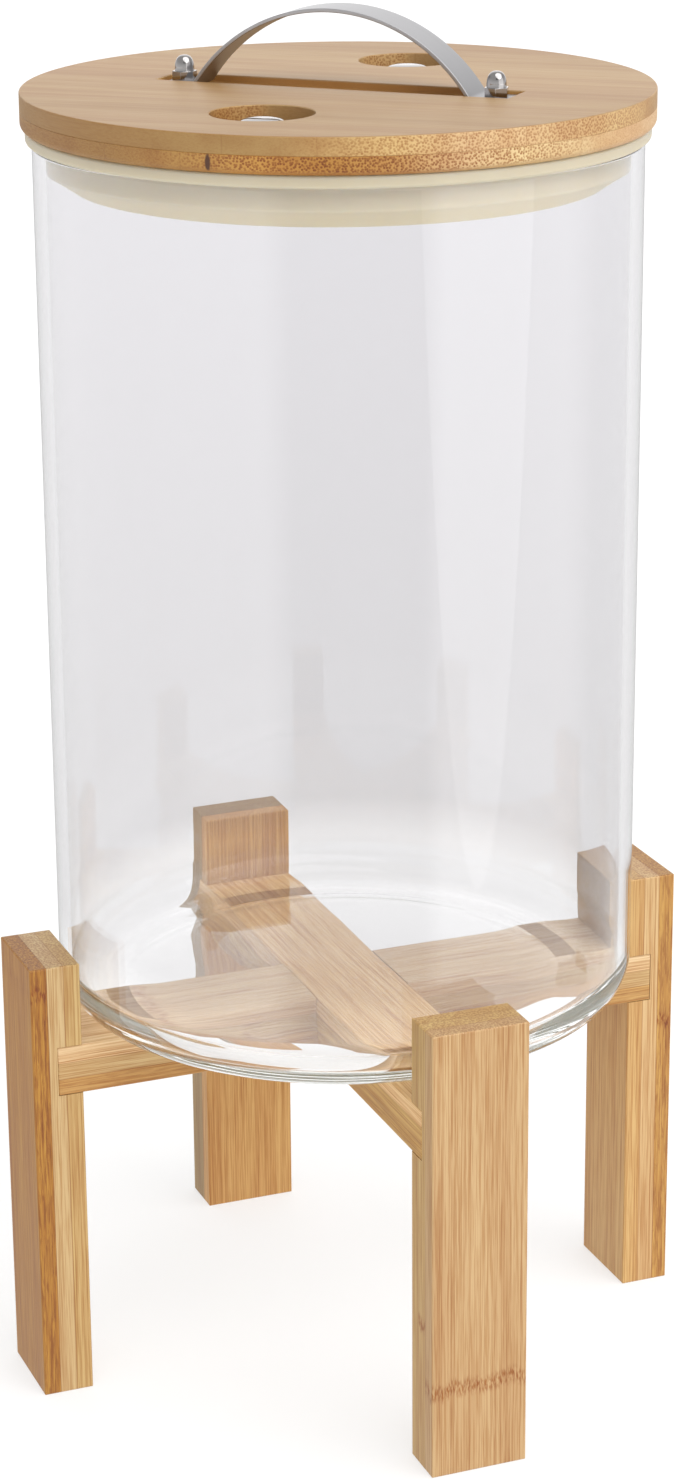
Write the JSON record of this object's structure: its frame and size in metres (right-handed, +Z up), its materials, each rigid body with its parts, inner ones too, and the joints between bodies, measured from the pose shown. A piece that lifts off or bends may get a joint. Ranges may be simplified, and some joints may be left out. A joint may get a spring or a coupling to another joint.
{
  "type": "detergent dispenser jar",
  "caption": "Straight glass jar in a notched bamboo stand, closed by a bamboo lid with a silicone seal and a steel strap handle.",
  "frame": {"origin": "on the floor, under the jar's axis, where the two beams of the stand cross", "axes": "+Z up along the jar's axis; +X towards the right leg; +Y towards the back leg"},
  "size_m": [0.2318, 0.2318, 0.4542],
  "materials": {
    "clear_glass": "clear, polished",
    "bamboo_bar": "laminated bamboo, fine sanded, clear matt varnish",
    "bamboo_ply": "two-ply pressed bamboo, fine sanded, clear matt varnish",
    "dowel_wood": "plain beech dowel",
    "silicone": "translucent cream silicone rubber",
    "satin_steel": "fine brushed stainless steel",
    "polished_steel": "polished stainless steel",
    "zinc_steel": "zinc plated steel"
  },
  "bodies": {
    "stand": {"leg_left": "bamboo_bar", "leg_right": "bamboo_bar", "leg_front": "bamboo_bar", "leg_back": "bamboo_bar", "beam_left_right": "bamboo_bar", "beam_front_back": "bamboo_bar", "dowel_left": "dowel_wood", "dowel_right": "dowel_wood", "dowel_front": "dowel_wood", "dowel_back": "dowel_wood"},
    "jar": {"glass_jar": "clear_glass"},
    "lid": {"lid_upper_ply": "bamboo_ply", "lid_lower_ply": "bamboo_ply", "silicone_seal": "silicone", "handle_strap": "satin_steel", "cap_nut_left": "polished_steel", "cap_nut_right": "polished_steel", "handle_screw_left": "zinc_steel", "handle_screw_right": "zinc_steel", "washer_left": "zinc_steel", "washer_right": "zinc_steel", "well_stud_front": "polished_steel", "well_stud_back": "polished_steel"}
  },
  "joints": [
    {"name": "jar_lift", "type": "slide", "parent": "stand", "child": "jar", "axis": [0, 0, 1], "range_m": [0, 0.06]},
    {"name": "lid_lift", "type": "slide", "parent": "jar", "child": "lid", "axis": [0, 0, 1], "range_m": [0, 0.05]}
  ]
}
